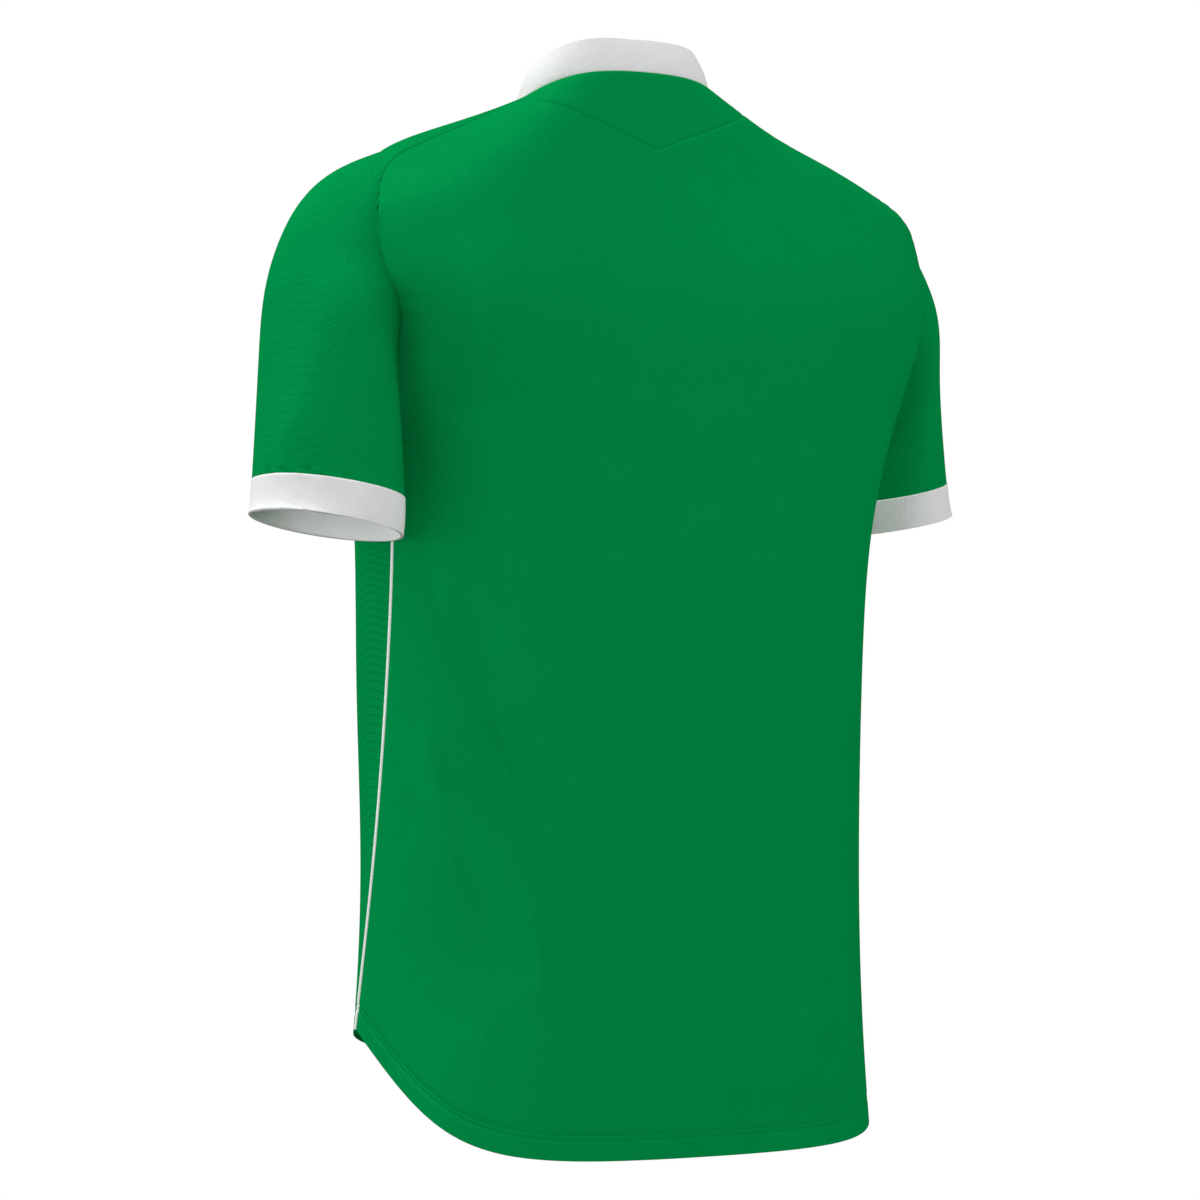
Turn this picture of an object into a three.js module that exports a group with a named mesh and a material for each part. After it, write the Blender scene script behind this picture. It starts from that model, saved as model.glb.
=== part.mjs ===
import * as THREE from 'three';

// Football jersey, filled out as when it is worn, with no wearer inside. Sizes are in millimetres.
// +Z is up, +X is the wearer's left and +Y the wearer's back. The origin is on the centre line, level
// with the high points of the shoulders, where the wearer's shoulders carry the jersey.

// Driving dimensions
const KNIT = 1.5; // thickness of the body and sleeve cloth
const RIB = 2.2; // thickness of the collar and cuff bands, which are folded double
const SEAM_GAP = 0.3; // parting between two sewn pieces
const PIPING_WIDTH = 2.6;
const PIPING_PROUD = 1.0;
const PIPING_DEEP = 1.3;
const PIPING_STOP = 0.03; // how far the piping ends below the underarm, in levels
const PIPING_TAPER = 0.4; // share of its width that the piping keeps at that end
const RIDGE_RISE = 10; // crown of the saddle at the shoulder's corner
const NECK_RISE = 7; // and at the neck
const COLLAR_BOW = 1.6; // outward bow of the collar band between its two edges

// Levels run up each body panel: 0 at the hem, UNDERARM, CORNER where the armhole turns into the
// saddle seam, and NECK at the collar seam.
const UNDERARM = 4;
const CORNER = 8;
const NECK = 10;

// How finely the surfaces are divided
const PANEL_COLUMNS = 14; // from the centre line to the panel's edge
const SKIRT_ROWS = 14; // from the hem to the underarm
const ARMHOLE_ROWS = 12;
const SADDLE_ROWS = 4;
const YOKE_ROWS = 2;
const RIDGE_COLUMNS = 4; // across the saddle
const COLLAR_ROWS = 4;
const SLEEVE_STATIONS = [0, 0.25, 0.5, 0.75, 1, 1.5, 2, 2.5, 3, 3.5, 4];
const CUFF_STATIONS = [4, 4.5, 5];

// A natural cubic spline through values at knots
function spline(knots, values) {
  const last = knots.length - 1;
  const gap = knots.slice(1).map((knot, i) => knot - knots[i]);
  const share = new Array(last + 1).fill(0);
  const bend = new Array(last + 1).fill(0);
  for (let i = 1; i < last; i += 1) {
    const turn = 6 * ((values[i + 1] - values[i]) / gap[i] - (values[i] - values[i - 1]) / gap[i - 1]);
    const pivot = 2 * (gap[i - 1] + gap[i]) - gap[i - 1] * share[i - 1];
    share[i] = gap[i] / pivot;
    bend[i] = (turn - gap[i - 1] * bend[i - 1]) / pivot;
  }
  for (let i = last - 1; i > 0; i -= 1) {
    bend[i] -= share[i] * bend[i + 1];
  }
  return (at) => {
    const i = THREE.MathUtils.clamp(knots.findLastIndex((knot) => knot <= at), 0, last - 1);
    const after = at - knots[i];
    const before = knots[i + 1] - at;
    return (bend[i] * before ** 3 + bend[i + 1] * after ** 3) / (6 * gap[i])
      + (values[i] / gap[i] - (bend[i] * gap[i]) / 6) * before
      + (values[i + 1] / gap[i] - (bend[i + 1] * gap[i]) / 6) * after;
  };
}

// A table of sections becomes a function that gives every named column at any level between them
function sections(names, rows) {
  const knots = rows.map((row) => row[0]);
  const columns = names.split(' ').slice(1);
  const splines = columns.map((name, i) => spline(knots, rows.map((row) => row[i + 1])));
  return (level) => Object.fromEntries(columns.map((name, i) => [name, splines[i](level)]));
}

// Side seam, from the hem's corner to the underarm
const SIDE_ROWS = [
  [0, 180, -55, -660],
  [1, 188, -21, -536],
  [2, 192, 0, -413],
  [3, 196, 12, -306],
  [UNDERARM, 209, 25, -228],
];
const sideSeam = sections('level x y z', SIDE_ROWS);

// Armhole and saddle seams, from the underarm to the collar
const backArmhole = sections('level x y z', [
  SIDE_ROWS.at(-1),
  [5, 218, 51, -169],
  [6, 228, 49.5, -120],
  [7, 225, 39, -78],
  [CORNER, 203, 29, -52],
  [9, 142, 17, -28],
  [NECK, 75, 5, -2],
]);
const frontArmhole = sections('level x y z', [
  SIDE_ROWS.at(-1),
  [5, 202, -22, -172],
  [6, 195, -42, -120],
  [7, 193, -40, -79],
  [CORNER, 184, -28, -53],
  [9, 128, -30, -34],
  [NECK, 69, -23, -22],
]);

// Sections of the body panels. z and y are on the centre line; turn is the way the section runs where it
// meets the panel's edge, in degrees from straight across; the reaches say how far the section keeps its
// direction at the centre and at the edge, as shares of its width; drop is how steeply it climbs there.
const BODY_COLUMNS = 'level z y turn centreReach edgeReach drop';
const PANELS = {
  back: {
    side: 1,
    armhole: backArmhole,
    section: sections(BODY_COLUMNS, [
      [0, -748, 112, 100, 0.84, 0.59, 80],
      [1, -603, 112, 99, 0.63, 0.52, 9],
      [2, -453, 109, 95, 0.58, 0.49, 2],
      [3, -324, 111, 95, 0.56, 0.48, 3],
      [UNDERARM, -222, 113, 97, 0.57, 0.47, 5],
      [6, -126, 99, 84, 0.53, 0.46, 10],
      [CORNER, -50, 66, 65, 0.42, 0.42, 12],
      [NECK, 17, 43, 93, 0.5, 0.54, -14],
    ]),
  },
  front: {
    side: -1,
    armhole: frontArmhole,
    section: sections(BODY_COLUMNS, [
      [0, -686, -117, 62, 0.6, 0.34, 12],
      [1, -575, -121, 73, 0.56, 0.38, 3],
      [2, -450, -120, 85, 0.54, 0.42, 2],
      [3, -320, -125, 85, 0.55, 0.44, 1],
      [UNDERARM, -225, -128, 83, 0.56, 0.44, 0],
      [6, -152, -122, 66, 0.5, 0.39, 4],
      [CORNER, -106, -110, 44, 0.44, 0.33, 6],
      [NECK, -72, -72, 78, 0.44, 0.46, 12],
    ]),
  },
};

// The back yoke's V seam
const YOKE_TIP = 8.27; // level of the point, on the centre line
const YOKE_END = 9.76; // level where the seam meets the saddle
const YOKE_BOW = 0.7;

// Rings down each sleeve, at stations 1 to 5. Station 0 is the armhole, 4 the cuff seam and 5 the opening.
// Inner is next to the body and outer away from it; y is the ring's middle and half its half depth. The
// two arms are held a little differently, so the right sleeve sits fuller at the back and shorter.
const SLEEVE_RINGS = {
  left: [
    { innerX: 217, innerZ: -228, outerX: 245, outerZ: -71, y: -1, half: 52 },
    { innerX: 213, innerZ: -240, outerX: 271, outerZ: -118, y: 1, half: 64 },
    { innerX: 208, innerZ: -258, outerX: 282, outerZ: -184, y: 5, half: 67 },
    { innerX: 204, innerZ: -294, outerX: 293, outerZ: -274, y: 9, half: 66 },
    { innerX: 204, innerZ: -319, outerX: 302, outerZ: -298, y: 13, half: 60 },
  ],
  right: [
    { innerX: 217, innerZ: -228, outerX: 247, outerZ: -74, y: 4, half: 54 },
    { innerX: 213, innerZ: -240, outerX: 273, outerZ: -118, y: 6, half: 65 },
    { innerX: 208, innerZ: -256, outerX: 279, outerZ: -180, y: 6, half: 66 },
    { innerX: 204, innerZ: -286, outerX: 286, outerZ: -266, y: 9, half: 65 },
    { innerX: 204, innerZ: -310, outerX: 293, outerZ: -290, y: 12, half: 60 },
  ],
};

// Collar band: place 0 at the centre back, 1 over the shoulder, 2 at the centre front
const collarBand = sections('place rise lean', [
  [0, 23.6, 9],
  [1, 25, 10],
  [2, 20, 4],
]);

// The largest soft folds: a ridge, or a trough where height is negative, from one point to another
const FOLDS = [
  { panel: 'back', fromX: 186, fromZ: -330, toX: 112, toZ: -655, width: 22, height: -6 },
  { panel: 'back', fromX: 150, fromZ: -330, toX: 70, toZ: -650, width: 26, height: 4 },
  { panel: 'back', fromX: -150, fromZ: -350, toX: -60, toZ: -640, width: 36, height: 3.5 },
  { panel: 'front', fromX: 150, fromZ: -300, toX: 40, toZ: -600, width: 36, height: 4 },
  { panel: 'front', fromX: -150, fromZ: -300, toX: -40, toZ: -600, width: 36, height: 4 },
];

// How far the folds lift the cloth at a place on a panel: each one swells and dies away along its length
function foldLift(panel, x, z) {
  const folds = FOLDS.filter((fold) => fold.panel === panel);
  return folds.reduce((lift, { fromX, fromZ, toX, toZ, width, height }) => {
    const run = new THREE.Vector2(toX - fromX, toZ - fromZ);
    const from = new THREE.Vector2(x - fromX, z - fromZ);
    const along = from.dot(run) / run.lengthSq();
    const aside = from.cross(run) / run.length();
    const swell = Math.sin(Math.PI * THREE.MathUtils.clamp(along, 0, 1));
    return lift + height * swell * Math.exp(-((aside / width) ** 2));
  }, 0);
}

function edgePoint(panel, level) {
  const { x, y, z } = level <= UNDERARM ? sideSeam(level) : PANELS[panel].armhole(level);
  return new THREE.Vector3(x, y, z);
}

// A point of a body panel: across runs from 0 on the centre line to 1 at the edge, or to -1 on the
// wearer's right
function panelPoint(panel, across, level) {
  const { side, section } = PANELS[panel];
  const { z, y, turn, centreReach, edgeReach, drop } = section(level);
  const centre = new THREE.Vector3(0, y, z);
  const edge = edgePoint(panel, level);
  const width = Math.hypot(edge.x, edge.y - y);
  const heading = THREE.MathUtils.degToRad(turn);
  const towardsEdge = centre.clone().add(new THREE.Vector3(centreReach * width, 0, 0));
  const intoEdge = new THREE.Vector3(Math.cos(heading), -side * Math.sin(heading), 0)
    .multiplyScalar(-edgeReach * width)
    .add(edge);
  intoEdge.z -= drop;
  const share = Math.abs(across);
  const point = new THREE.CubicBezierCurve3(centre, towardsEdge, intoEdge, edge).getPoint(share);
  point.x *= Math.sign(across) || 1;
  const fade = 1 - share ** 4;
  point.y += side * fade * foldLift(panel, point.x, point.z);
  return point;
}

// Levels of the back's rows lean towards the V seam as they near it, more so at the centre
function backLevel(across, level) {
  const share = Math.abs(across);
  const seam = YOKE_TIP + (YOKE_END - YOKE_TIP) * share * (1 + YOKE_BOW * (1 - share));
  const pull = Math.max(0, (level - UNDERARM) / (NECK - UNDERARM)) ** 2;
  return level + (seam - NECK) * pull;
}

const steps = (from, to, count) => Array.from({ length: count + 1 }, (_, i) => from + ((to - from) * i) / count);
const joined = (...runs) => runs.flatMap((run, i) => (i === 0 ? run : run.slice(1)));
const mirrored = (point) => new THREE.Vector3(-point.x, point.y, point.z);
const mirrorGrid = (grid) => grid.map((row) => row.map(mirrored).reverse());

const BACK_ROWS = joined(
  steps(0, UNDERARM, SKIRT_ROWS),
  steps(UNDERARM, CORNER, ARMHOLE_ROWS),
  steps(CORNER, NECK, SADDLE_ROWS),
);
const EDGE_LEVELS = joined(
  BACK_ROWS.map((level) => backLevel(1, level)),
  steps(YOKE_END, NECK, YOKE_ROWS),
);
const ARMHOLE_LEVELS = EDGE_LEVELS.slice(SKIRT_ROWS, SKIRT_ROWS + ARMHOLE_ROWS + 1);
const SADDLE_LEVELS = EDGE_LEVELS.slice(SKIRT_ROWS + ARMHOLE_ROWS);
const ACROSS = steps(-1, 1, 2 * PANEL_COLUMNS);

function backGrid() {
  return BACK_ROWS.map((level) => (
    ACROSS.map((across) => panelPoint('back', -across, backLevel(across, level)))
  ));
}

function yokeGrid() {
  return steps(0, 1, YOKE_ROWS).map((share) => ACROSS.map((across) => {
    const seam = backLevel(across, NECK);
    return panelPoint('back', -across, seam + (NECK - seam) * share);
  }));
}

function frontGrid() {
  return EDGE_LEVELS.map((level) => ACROSS.map((across) => panelPoint('front', across, level)));
}

// A row across the left saddle, from the back seam over the shoulder ridge to the front seam
function saddleRow(level) {
  const back = edgePoint('back', level);
  const front = edgePoint('front', level);
  const rise = THREE.MathUtils.mapLinear(level, CORNER, NECK, RIDGE_RISE, NECK_RISE);
  const handle = (share) => back.clone().lerp(front, share).add(new THREE.Vector3(0, 0, rise));
  return new THREE.CubicBezierCurve3(back, handle(1 / 3), handle(2 / 3), front).getPoints(RIDGE_COLUMNS);
}

// The armhole as a closed loop: up its back, over the shoulder and down its front to the underarm
function armholeLoop() {
  const down = [...ARMHOLE_LEVELS].reverse();
  return joined(
    ARMHOLE_LEVELS.map((level) => edgePoint('back', level)),
    saddleRow(ARMHOLE_LEVELS.at(-1)),
    down.map((level) => edgePoint('front', level)),
  );
}

// How far round the sleeve each point of the armhole lies: 0 at the underarm, half a turn at the ridge
function turnsOf(loop) {
  const lengths = loop.slice(1).map((point, i) => point.distanceTo(loop[i]));
  const travelled = [0];
  lengths.forEach((length) => travelled.push(travelled.at(-1) + length));
  const ridge = travelled[ARMHOLE_ROWS + RIDGE_COLUMNS / 2];
  const whole = travelled.at(-1);
  return travelled.map((way) => (
    way <= ridge ? (Math.PI * way) / ridge : Math.PI * (1 + (way - ridge) / (whole - ridge))
  ));
}

// Rows of one arm's sleeve at the given stations, each column a smooth line through the rings. Both are
// worked out on the left, and the right arm's pieces are mirrored.
function sleeveRows(arm, stations) {
  const loop = armholeLoop();
  const turns = turnsOf(loop);
  const columns = loop.map((start, i) => {
    const keys = SLEEVE_RINGS[arm].map(({ innerX, innerZ, outerX, outerZ, y, half }) => {
      const inward = (1 + Math.cos(turns[i])) / 2;
      const x = THREE.MathUtils.lerp(outerX, innerX, inward);
      const z = THREE.MathUtils.lerp(outerZ, innerZ, inward);
      return new THREE.Vector3(x, y + half * Math.sin(turns[i]), z);
    });
    const through = [start, ...keys];
    const places = through.map((_, station) => station);
    return ['x', 'y', 'z'].map((axis) => spline(places, through.map((point) => point[axis])));
  });
  return stations.map((station) => columns.map((column) => new THREE.Vector3(...column.map((at) => at(station)))));
}

function saddleGrid() {
  return [...SADDLE_LEVELS].reverse().map(saddleRow);
}

// The neck's edge from the centre back over the left shoulder to the centre front
function neckLine() {
  const out = steps(0, 1, PANEL_COLUMNS);
  const back = out.map((across) => panelPoint('back', across, NECK));
  const front = out.map((across) => panelPoint('front', across, NECK)).reverse();
  return joined(back, saddleRow(NECK), front);
}

// The collar stands on the neck's edge all round, leaning in, with a slight bow
function collarGrid() {
  const line = neckLine();
  const middle = (line[0].y + line.at(-1).y) / 2;
  const travelled = [0];
  line.slice(1).forEach((point, i) => travelled.push(travelled.at(-1) + point.distanceTo(line[i])));
  const half = (share) => line.map((point, i) => {
    const { rise, lean } = collarBand((2 * travelled[i]) / travelled.at(-1));
    const outward = new THREE.Vector3(point.x, point.y - middle, 0).normalize();
    const bow = COLLAR_BOW * Math.sin(Math.PI * share);
    return point.clone().addScaledVector(outward, bow - lean * share).setZ(point.z + rise * share);
  });
  return steps(0, 1, COLLAR_ROWS).map((share) => {
    const left = half(share);
    const right = left.map(mirrored).slice(1, -1).reverse();
    return [...right, ...left, right[0]].reverse();
  });
}

// Each sewn piece as the grids that make up its outer face. Every grid's columns and rows run so that
// its outer side is on the right-hand side of columns crossed with rows.
const sleeve = (arm) => [saddleGrid(), sleeveRows(arm, SLEEVE_STATIONS)];
const cuff = (arm) => [sleeveRows(arm, CUFF_STATIONS)];
const PIECES = [
  { name: 'back', cloth: 'green', wall: KNIT, grids: [backGrid()] },
  { name: 'back_yoke', cloth: 'green', wall: KNIT, grids: [yokeGrid()] },
  { name: 'front', cloth: 'green', wall: KNIT, grids: [frontGrid()] },
  { name: 'sleeve_left', cloth: 'green', wall: KNIT, grids: sleeve('left') },
  { name: 'sleeve_right', cloth: 'green', wall: KNIT, grids: sleeve('right').map(mirrorGrid) },
  { name: 'cuff_left', cloth: 'white', wall: RIB, grids: cuff('left') },
  { name: 'cuff_right', cloth: 'white', wall: RIB, grids: cuff('right').map(mirrorGrid) },
  { name: 'collar', cloth: 'white', wall: RIB, grids: [collarGrid()] },
];

const keyOf = (point) => [point.x, point.y, point.z].map((value) => Math.round(value * 1000)).join(' ');

// A sheet is the piece's outer face: its points by key, and its triangles as keys
function sheetOf({ grids }) {
  const points = new Map();
  const triangles = [];
  const key = (point) => {
    const found = keyOf(point);
    if (!points.has(found)) points.set(found, point);
    return found;
  };
  grids.forEach((grid) => {
    for (let row = 1; row < grid.length; row += 1) {
      for (let column = 1; column < grid[row].length; column += 1) {
        const [a, b] = [grid[row - 1][column - 1], grid[row - 1][column]].map(key);
        const [d, c] = [grid[row][column - 1], grid[row][column]].map(key);
        triangles.push([a, b, c], [a, c, d]);
      }
    }
  });
  return { points, triangles };
}

function crossOf(points, [a, b, c]) {
  const [pa, pb, pc] = [a, b, c].map((key) => points.get(key));
  return pb.clone().sub(pa).cross(pc.clone().sub(pa));
}

// Adds to the direction kept for a point
function gather(directions, key, direction) {
  if (!directions.has(key)) directions.set(key, new THREE.Vector3());
  directions.get(key).add(direction);
}

// Directions out of the cloth. Where pieces meet, each has the same say.
function normalsOf(sheets) {
  const normals = new Map();
  sheets.forEach(({ points, triangles }) => {
    const own = new Map();
    triangles.forEach((triangle) => {
      const cross = crossOf(points, triangle);
      triangle.forEach((key) => gather(own, key, cross));
    });
    own.forEach((normal, key) => gather(normals, key, normal.normalize()));
  });
  normals.forEach((normal) => normal.normalize());
  return normals;
}

// The open edges of a sheet, each with the way in from it
function openEdges({ points, triangles }) {
  const edges = new Map();
  triangles.forEach((triangle) => triangle.forEach((from, i) => {
    edges.set(`${from}|${triangle[(i + 1) % 3]}`, [from, triangle[(i + 1) % 3], triangle[(i + 2) % 3]]);
  }));
  return [...edges.values()]
    .filter(([from, to]) => !edges.has(`${to}|${from}`))
    .map(([from, to, inner]) => {
      const along = points.get(to).clone().sub(points.get(from)).normalize();
      const inward = points.get(inner).clone().sub(points.get(from));
      inward.addScaledVector(along, -inward.dot(along)).normalize();
      return { from, to, inward };
    });
}

// The move that takes a corner point of a sheet the asked distance in from each of its two open edges
function moveIn(first, second) {
  const lean = first.inward.dot(second.inward);
  const move = new THREE.Vector3();
  const NEARLY_STRAIGHT = 0.9;
  if (lean > NEARLY_STRAIGHT) {
    return move.add(first.inward).add(second.inward).normalize()
      .multiplyScalar((first.gap + second.gap) / 2);
  }
  const spread = 1 - lean * lean;
  return move
    .addScaledVector(first.inward, (first.gap - lean * second.gap) / spread)
    .addScaledVector(second.inward, (second.gap - lean * first.gap) / spread);
}

// A closed wall: the outer face, the inner face one thickness inside it, and a rim along each open edge.
// Two pieces that meet split their rims along the same diagonal, so the parting between them stays even.
function wallOf(sheet, thickness, normals, gapOf) {
  const edges = openEdges(sheet).map((edge) => ({ ...edge, gap: gapOf(edge) }));
  const moves = new Map();
  edges.forEach((edge) => {
    const before = edges.find((other) => other.to === edge.from);
    moves.set(edge.from, moveIn(before, edge));
  });
  const corners = [];
  const place = new Map();
  sheet.points.forEach((point, key) => {
    const outer = point.clone().add(moves.get(key) ?? new THREE.Vector3());
    const inner = outer.clone().addScaledVector(normals.get(key), -thickness);
    place.set(key, corners.length);
    corners.push(outer, inner);
  });
  const faces = [];
  sheet.triangles.forEach((triangle) => {
    const [a, b, c] = triangle.map((key) => place.get(key));
    faces.push([a, b, c], [a + 1, c + 1, b + 1]);
  });
  edges.forEach(({ from, to }) => {
    const [a, b] = [place.get(from), place.get(to)];
    if (from < to) {
      faces.push([b, a, b + 1], [a, a + 1, b + 1]);
    } else {
      faces.push([b, a, a + 1], [b, a + 1, b + 1]);
    }
  });
  return { corners, faces };
}

function geometryOf({ corners, faces }) {
  const geometry = new THREE.BufferGeometry();
  const positions = corners.flatMap((corner) => corner.toArray());
  geometry.setAttribute('position', new THREE.Float32BufferAttribute(positions, 3));
  geometry.setIndex(faces.flat());
  geometry.computeVertexNormals();
  return geometry;
}

// The piping is a cord with a rounded face, sewn between the front and the back down the side seam
function pipingSolid(normals) {
  const half = PIPING_WIDTH / 2;
  const outline = [
    [-half, -PIPING_DEEP],
    [half, -PIPING_DEEP],
    [half, 0],
    [0.6 * half, 0.75 * PIPING_PROUD],
    [0, PIPING_PROUD],
    [-0.6 * half, 0.75 * PIPING_PROUD],
    [-half, 0],
  ];
  const levels = EDGE_LEVELS.slice(0, SKIRT_ROWS + 1);
  const seam = levels.map((level) => edgePoint('back', level));
  const outs = seam.map((_, i) => normals.get(keyOf(seam[Math.min(i, SKIRT_ROWS - 1)])));
  seam[SKIRT_ROWS] = edgePoint('back', UNDERARM - PIPING_STOP);
  const corners = seam.flatMap((point, i) => {
    const along = seam[Math.min(i + 1, SKIRT_ROWS)].clone().sub(seam[Math.max(i - 1, 0)]).normalize();
    const aside = along.clone().cross(outs[i]).normalize();
    const out = aside.clone().cross(along);
    const keep = i === SKIRT_ROWS ? PIPING_TAPER : 1;
    return outline.map(([wide, high]) => (
      point.clone().addScaledVector(aside, keep * wide).addScaledVector(out, keep * high)
    ));
  });
  const count = outline.length;
  const faces = [];
  for (let row = 0; row < SKIRT_ROWS; row += 1) {
    for (let i = 0; i < count; i += 1) {
      const [a, b] = [row * count + i, row * count + ((i + 1) % count)];
      faces.push([a, b + count, b], [a, a + count, b + count]);
    }
  }
  const top = SKIRT_ROWS * count;
  for (let i = 1; i < count - 1; i += 1) {
    faces.push([0, i, i + 1], [top, top + i + 1, top + i]);
  }
  return { corners, faces };
}

function mirrorSolid({ corners, faces }) {
  return { corners: corners.map(mirrored), faces: faces.map(([a, b, c]) => [a, c, b]) };
}

const MATERIALS = {
  green: new THREE.MeshStandardMaterial({ color: 0x027c3e, roughness: 0.85, metalness: 0 }),
  white: new THREE.MeshStandardMaterial({ color: 0xe4e5e3, roughness: 0.9, metalness: 0 }),
};

function jersey() {
  const group = new THREE.Group();
  const add = (name, cloth, solid) => {
    const mesh = new THREE.Mesh(geometryOf(solid), MATERIALS[cloth]);
    mesh.name = name;
    group.add(mesh);
  };
  const sheets = PIECES.map(sheetOf);
  const normals = normalsOf(sheets);
  const allEdges = sheets.flatMap((sheet, piece) => openEdges(sheet).map((edge) => ({ ...edge, piece })));
  const owner = new Map(allEdges.map(({ from, to, piece }) => [`${from}|${to}`, PIECES[piece].name]));
  PIECES.forEach(({ name, cloth, wall }, i) => {
    const gapOf = ({ from, to }) => {
      const neighbour = owner.get(`${to}|${from}`);
      if (neighbour === undefined) return 0;
      const bothBody = [name, neighbour].every((piece) => piece === 'back' || piece === 'front');
      return bothBody ? PIPING_WIDTH / 2 + SEAM_GAP : SEAM_GAP / 2;
    };
    add(name, cloth, wallOf(sheets[i], wall, normals, gapOf));
  });
  const piping = pipingSolid(normals);
  add('piping_left', 'white', piping);
  add('piping_right', 'white', mirrorSolid(piping));
  return group;
}

export default jersey();
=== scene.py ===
"""Looks of the football jersey: knitted shells with folds, seams and stitches in place of the plain walls.

Tables are in millimetres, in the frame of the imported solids: +Z up, +X to the wearer's left and +Y to the
wearer's back. Every point becomes metres when its mesh is made.
"""

import math

import bpy
import numpy as np
from mathutils import Matrix, Vector


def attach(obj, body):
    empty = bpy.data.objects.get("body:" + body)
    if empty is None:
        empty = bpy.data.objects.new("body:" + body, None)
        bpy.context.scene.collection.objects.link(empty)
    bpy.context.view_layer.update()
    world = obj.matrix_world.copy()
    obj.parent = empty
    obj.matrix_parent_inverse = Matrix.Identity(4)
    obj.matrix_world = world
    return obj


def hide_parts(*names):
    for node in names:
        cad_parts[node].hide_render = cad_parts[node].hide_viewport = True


MM = 0.001

# Cloth
KNIT = 1.5
RIB = 2.2
PIPING_HALF = 1.5
PIPING_PROUD = 1.2
PIPING_DEEP = 1.0
PIPING_STOP = 0.03
COLLAR_BOW = 1.6
RIDGE_RISE = 10
NECK_RISE = 7
SEAM_DIP = 0.8
SEAM_REACH = 2.4
HEM_DEPTH = 19
HEM_WALL = 2.3
CUFF_STEP = 0.5

# Knit: the pitch of its small checks and of its ribs, and of the tonal waves on sleeves and front sides
CHECK_PITCH = 3.2
RIB_PITCH = 1.6
WAVE_PITCH = 6.5
WAVE_LENGTH = 62
WAVE_SWING = 2.6

# Colours of the cloth and the thread, and of the floor
GREEN = (0.0004, 0.19, 0.046)
THREAD_GREEN = (0.0004, 0.15, 0.036)
RIB_WHITE = (0.575, 0.585, 0.58)
PIPING_WHITE = (0.68, 0.69, 0.685)
FLOOR_GREY = (0.9, 0.9, 0.9)
CLOTH_ROUGHNESS = 0.9
THREAD_ROUGHNESS = 0.8

# Twin rows of stitches above the hem
STITCH_ROWS = (14.6, 18.2)
STITCH_PITCH = 3.1
STITCH_LENGTH = 2.3
STITCH_HALF = 0.34
STITCH_SIDES = 6
GROOVE_REACH = 2.6
GROOVE_DEPTH = 0.55

# Levels up a body panel
UNDERARM = 4
CORNER = 8
NECK = 10

# Side seam from the hem's corner to the underarm: level, x, y, z
SIDE_ROWS = [
    (0, 180, -55, -660),
    (1, 188, -21, -536),
    (2, 192, 0, -413),
    (3, 196, 12, -306),
    (4, 209, 25, -228),
]

# Armhole and saddle seams from the underarm to the collar: level, x, y, z
ARMHOLE_ROWS = {
    "back": [
        SIDE_ROWS[-1],
        (5, 218, 51, -169),
        (6, 228, 49.5, -120),
        (7, 225, 39, -78),
        (8, 203, 29, -52),
        (9, 142, 17, -28),
        (10, 75, 5, -2),
    ],
    "front": [
        SIDE_ROWS[-1],
        (5, 202, -22, -172),
        (6, 195, -42, -120),
        (7, 193, -40, -79),
        (8, 184, -28, -53),
        (9, 128, -30, -34),
        (10, 69, -23, -22),
    ],
}

# Sections of the body panels: level, z, y, turn, centre reach, edge reach, drop
SECTION_ROWS = {
    "back": [
        (0, -748, 112, 100, 0.84, 0.59, 80),
        (1, -603, 112, 99, 0.63, 0.52, 9),
        (2, -453, 109, 95, 0.58, 0.49, 2),
        (3, -324, 111, 95, 0.56, 0.48, 3),
        (4, -222, 113, 97, 0.57, 0.47, 5),
        (6, -126, 99, 84, 0.53, 0.46, 10),
        (8, -50, 66, 65, 0.42, 0.42, 12),
        (10, 17, 43, 93, 0.5, 0.54, -14),
    ],
    "front": [
        (0, -686, -117, 62, 0.6, 0.34, 12),
        (1, -575, -121, 73, 0.56, 0.38, 3),
        (2, -450, -120, 85, 0.54, 0.42, 2),
        (3, -320, -125, 85, 0.55, 0.44, 1),
        (4, -225, -128, 83, 0.56, 0.44, 0),
        (6, -152, -122, 66, 0.5, 0.39, 4),
        (8, -106, -110, 44, 0.44, 0.33, 6),
        (10, -72, -72, 78, 0.44, 0.46, 12),
    ],
}
OUTWARD = {"back": 1, "front": -1}

YOKE_TIP = 8.27
YOKE_END = 9.76
YOKE_BOW = 0.7

# Rings down each sleeve, at stations 1 to 5: inner x, inner z, outer x, outer z, y, half depth
SLEEVE_RINGS = {
    "left": [
        (217, -228, 245, -71, -1, 52),
        (213, -240, 271, -118, 1, 64),
        (208, -258, 282, -184, 5, 67),
        (204, -294, 293, -274, 9, 66),
        (204, -319, 302, -298, 13, 60),
    ],
    "right": [
        (217, -228, 247, -74, 4, 54),
        (213, -240, 273, -118, 6, 65),
        (208, -256, 279, -180, 6, 66),
        (204, -286, 286, -266, 9, 65),
        (204, -310, 293, -290, 12, 60),
    ],
}
CUFF_SEAM = 4
CUFF_END = 5

# Collar band: place round it, rise, lean
COLLAR_ROWS = [(0, 23.6, 9), (1, 25, 10), (2, 20, 4)]

# How finely the surfaces are divided
COLUMNS = 72
SKIRT_STEPS = 128
ARMHOLE_STEPS = 54
SADDLE_STEPS = 26
YOKE_STEPS = 14
RIDGE_STEPS = 14
SLEEVE_STEPS = 72
CUFF_STEPS = 10
COLLAR_STEPS = 10

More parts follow.
